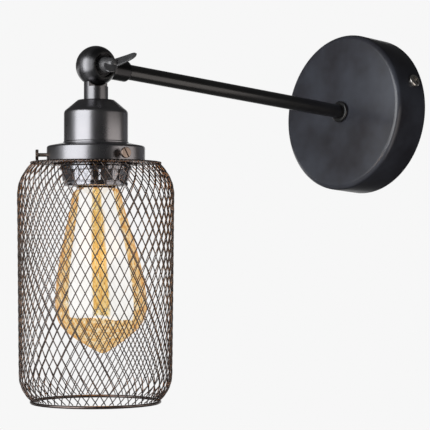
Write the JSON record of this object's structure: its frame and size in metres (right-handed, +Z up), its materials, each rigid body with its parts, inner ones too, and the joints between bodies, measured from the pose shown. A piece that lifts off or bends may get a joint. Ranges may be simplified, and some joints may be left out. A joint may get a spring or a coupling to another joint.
{
  "type": "cage wall light",
  "caption": "Wall light with a round wall plate, straight arm, ball knuckle with wing nut, and a diamond-mesh cage round a teardrop bulb.",
  "frame": {"origin": "centre of the wall plate's back, on the wall", "axes": "+Z up, +Y into the wall, the arm runs along -Y, the wing nut is on the +X side"},
  "size_m": [0.124, 0.3229, 0.3006],
  "materials": {
    "zinc_steel": "zinc plated",
    "black_paint": "satin charcoal paint",
    "nickel": "nickel plated",
    "white_plastic": "matt",
    "brass": "plain brass",
    "lead_sheath": "silicone sheath",
    "pearl_black": "satin gunmetal",
    "black_steel": "black oxide",
    "black_phenolic": "moulded phenolic",
    "ceramic": "unglazed",
    "bronze_screw": "aged bronze",
    "black_wire": "satin black",
    "amber_glass": "amber tint",
    "black_glass": "vitrite",
    "solder": "tinned",
    "clear_glass": "clear",
    "filament": "glowing wire"
  },
  "bodies": {
    "arm": {"wall_bracket": "zinc_steel", "canopy": "black_paint", "side_screws": "nickel", "terminal_block": "white_plastic", "terminal_screws": "brass", "earth_screw": "brass", "arm_washer": "zinc_steel", "arm_lock_nut": "zinc_steel", "arm_collar": "black_paint", "arm_tube": "black_paint", "arm_leads": "lead_sheath", "knuckle_arm_half": "pearl_black", "knuckle_bolt": "zinc_steel", "flat_washer": "black_steel", "spring_washer": "zinc_steel"},
    "wing_nut": {"wing_nut": "black_steel"},
    "lamp_head": {"knuckle_head_half": "pearl_black", "stem_lock_nut": "zinc_steel", "socket_cup": "pearl_black", "gallery": "pearl_black", "holder_dome": "black_phenolic", "holder_skirt": "black_phenolic", "ceramic_insert": "ceramic", "screw_shell": "brass", "holder_contact": "brass", "holder_screws": "brass", "shade_ring": "black_phenolic", "head_leads": "lead_sheath"},
    "fitter_screw_1": {"fitter_screw_1": "bronze_screw"},
    "fitter_screw_2": {"fitter_screw_2": "bronze_screw"},
    "fitter_screw_3": {"fitter_screw_3": "bronze_screw"},
    "shade": {"cage_top_plate": "black_wire", "cage_mesh": "black_wire", "cage_ring": "black_wire"},
    "bulb": {"bulb_glass": "amber_glass", "bulb_cap": "brass", "bulb_insulator": "black_glass", "bulb_contact": "solder", "bulb_stem": "clear_glass", "filament_hooks": "solder", "filament": "filament"}
  },
  "joints": [
    {"name": "head_tilt", "type": "hinge", "parent": "arm", "child": "lamp_head", "pos_m": [0, -0.276, 0], "axis": [1, 0, 0], "range_deg": [-180, 20]},
    {"name": "wing_nut_turn", "type": "hinge", "parent": "arm", "child": "wing_nut", "pos_m": [0.0105, -0.276, 0], "axis": [1, 0, 0], "continuous": true},
    {"name": "bulb_turn", "type": "hinge", "parent": "lamp_head", "child": "bulb", "pos_m": [0, -0.27039, -0.06978], "axis": [0, 0.0802, -0.9968], "continuous": true},
    {"name": "shade_drop", "type": "slide", "parent": "lamp_head", "child": "shade", "axis": [0, 0.0802, -0.9968], "range_m": [0, 0.03]},
    {"name": "fitter_screw_1_out", "type": "slide", "parent": "lamp_head", "child": "fitter_screw_1", "axis": [0.9903, -0.1387, -0.0112], "range_m": [0, 0.004]},
    {"name": "fitter_screw_2_out", "type": "slide", "parent": "lamp_head", "child": "fitter_screw_2", "axis": [-0.3746, 0.9242, 0.0744], "range_m": [0, 0.004]},
    {"name": "fitter_screw_3_out", "type": "slide", "parent": "lamp_head", "child": "fitter_screw_3", "axis": [-0.6157, -0.7855, -0.0632], "range_m": [0, 0.004]}
  ]
}
